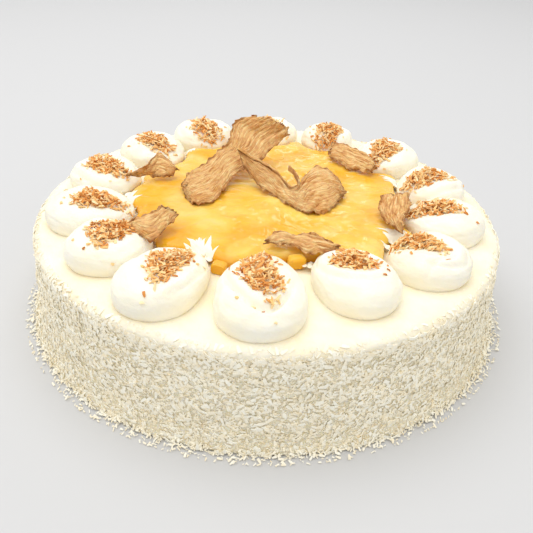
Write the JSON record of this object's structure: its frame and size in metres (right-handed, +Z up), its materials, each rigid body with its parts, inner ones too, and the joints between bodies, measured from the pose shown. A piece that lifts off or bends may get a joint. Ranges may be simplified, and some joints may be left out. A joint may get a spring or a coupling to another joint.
{
  "type": "pineapple cream cake",
  "caption": "Uncut round cream cake with shredded coconut round its side, a ring of piped cream dollops with toasted coconut, pineapple topping in the middle and dried pineapple crisps.",
  "frame": {"origin": "centre of the flat underside of the cake", "axes": "+Z up from the underside, -Y towards the front dollop, +X to the right as seen from the front"},
  "size_m": [0.2891, 0.2899, 0.0965],
  "materials": {
    "coconut_coat": "rough, cream coated with white and pale cream coconut shreds",
    "whipped_cream": "soft satin, ivory whipped cream with toasted coconut on top",
    "fruit_topping": "glossy and translucent, golden yellow pineapple compote",
    "dried_fruit": "matt and fibrous, tan dried pineapple"
  },
  "bodies": {
    "root": {"cake": "coconut_coat", "fruit_topping": "fruit_topping", "fruit_chunk_left": "fruit_topping", "fruit_chunk_right": "fruit_topping", "dollop_01": "whipped_cream", "dollop_02": "whipped_cream", "dollop_03": "whipped_cream", "dollop_04": "whipped_cream", "dollop_05": "whipped_cream", "dollop_06": "whipped_cream", "dollop_07": "whipped_cream", "dollop_08": "whipped_cream", "dollop_09": "whipped_cream", "dollop_10": "whipped_cream", "dollop_11": "whipped_cream", "dollop_12": "whipped_cream", "dollop_13": "whipped_cream", "dollop_14": "whipped_cream", "crisp_back": "dried_fruit", "crisp_front": "dried_fruit", "chip_back_left": "dried_fruit", "chip_front_left": "dried_fruit", "chip_front": "dried_fruit", "chip_back_right": "dried_fruit", "chip_right": "dried_fruit"}
  },
  "joints": []
}
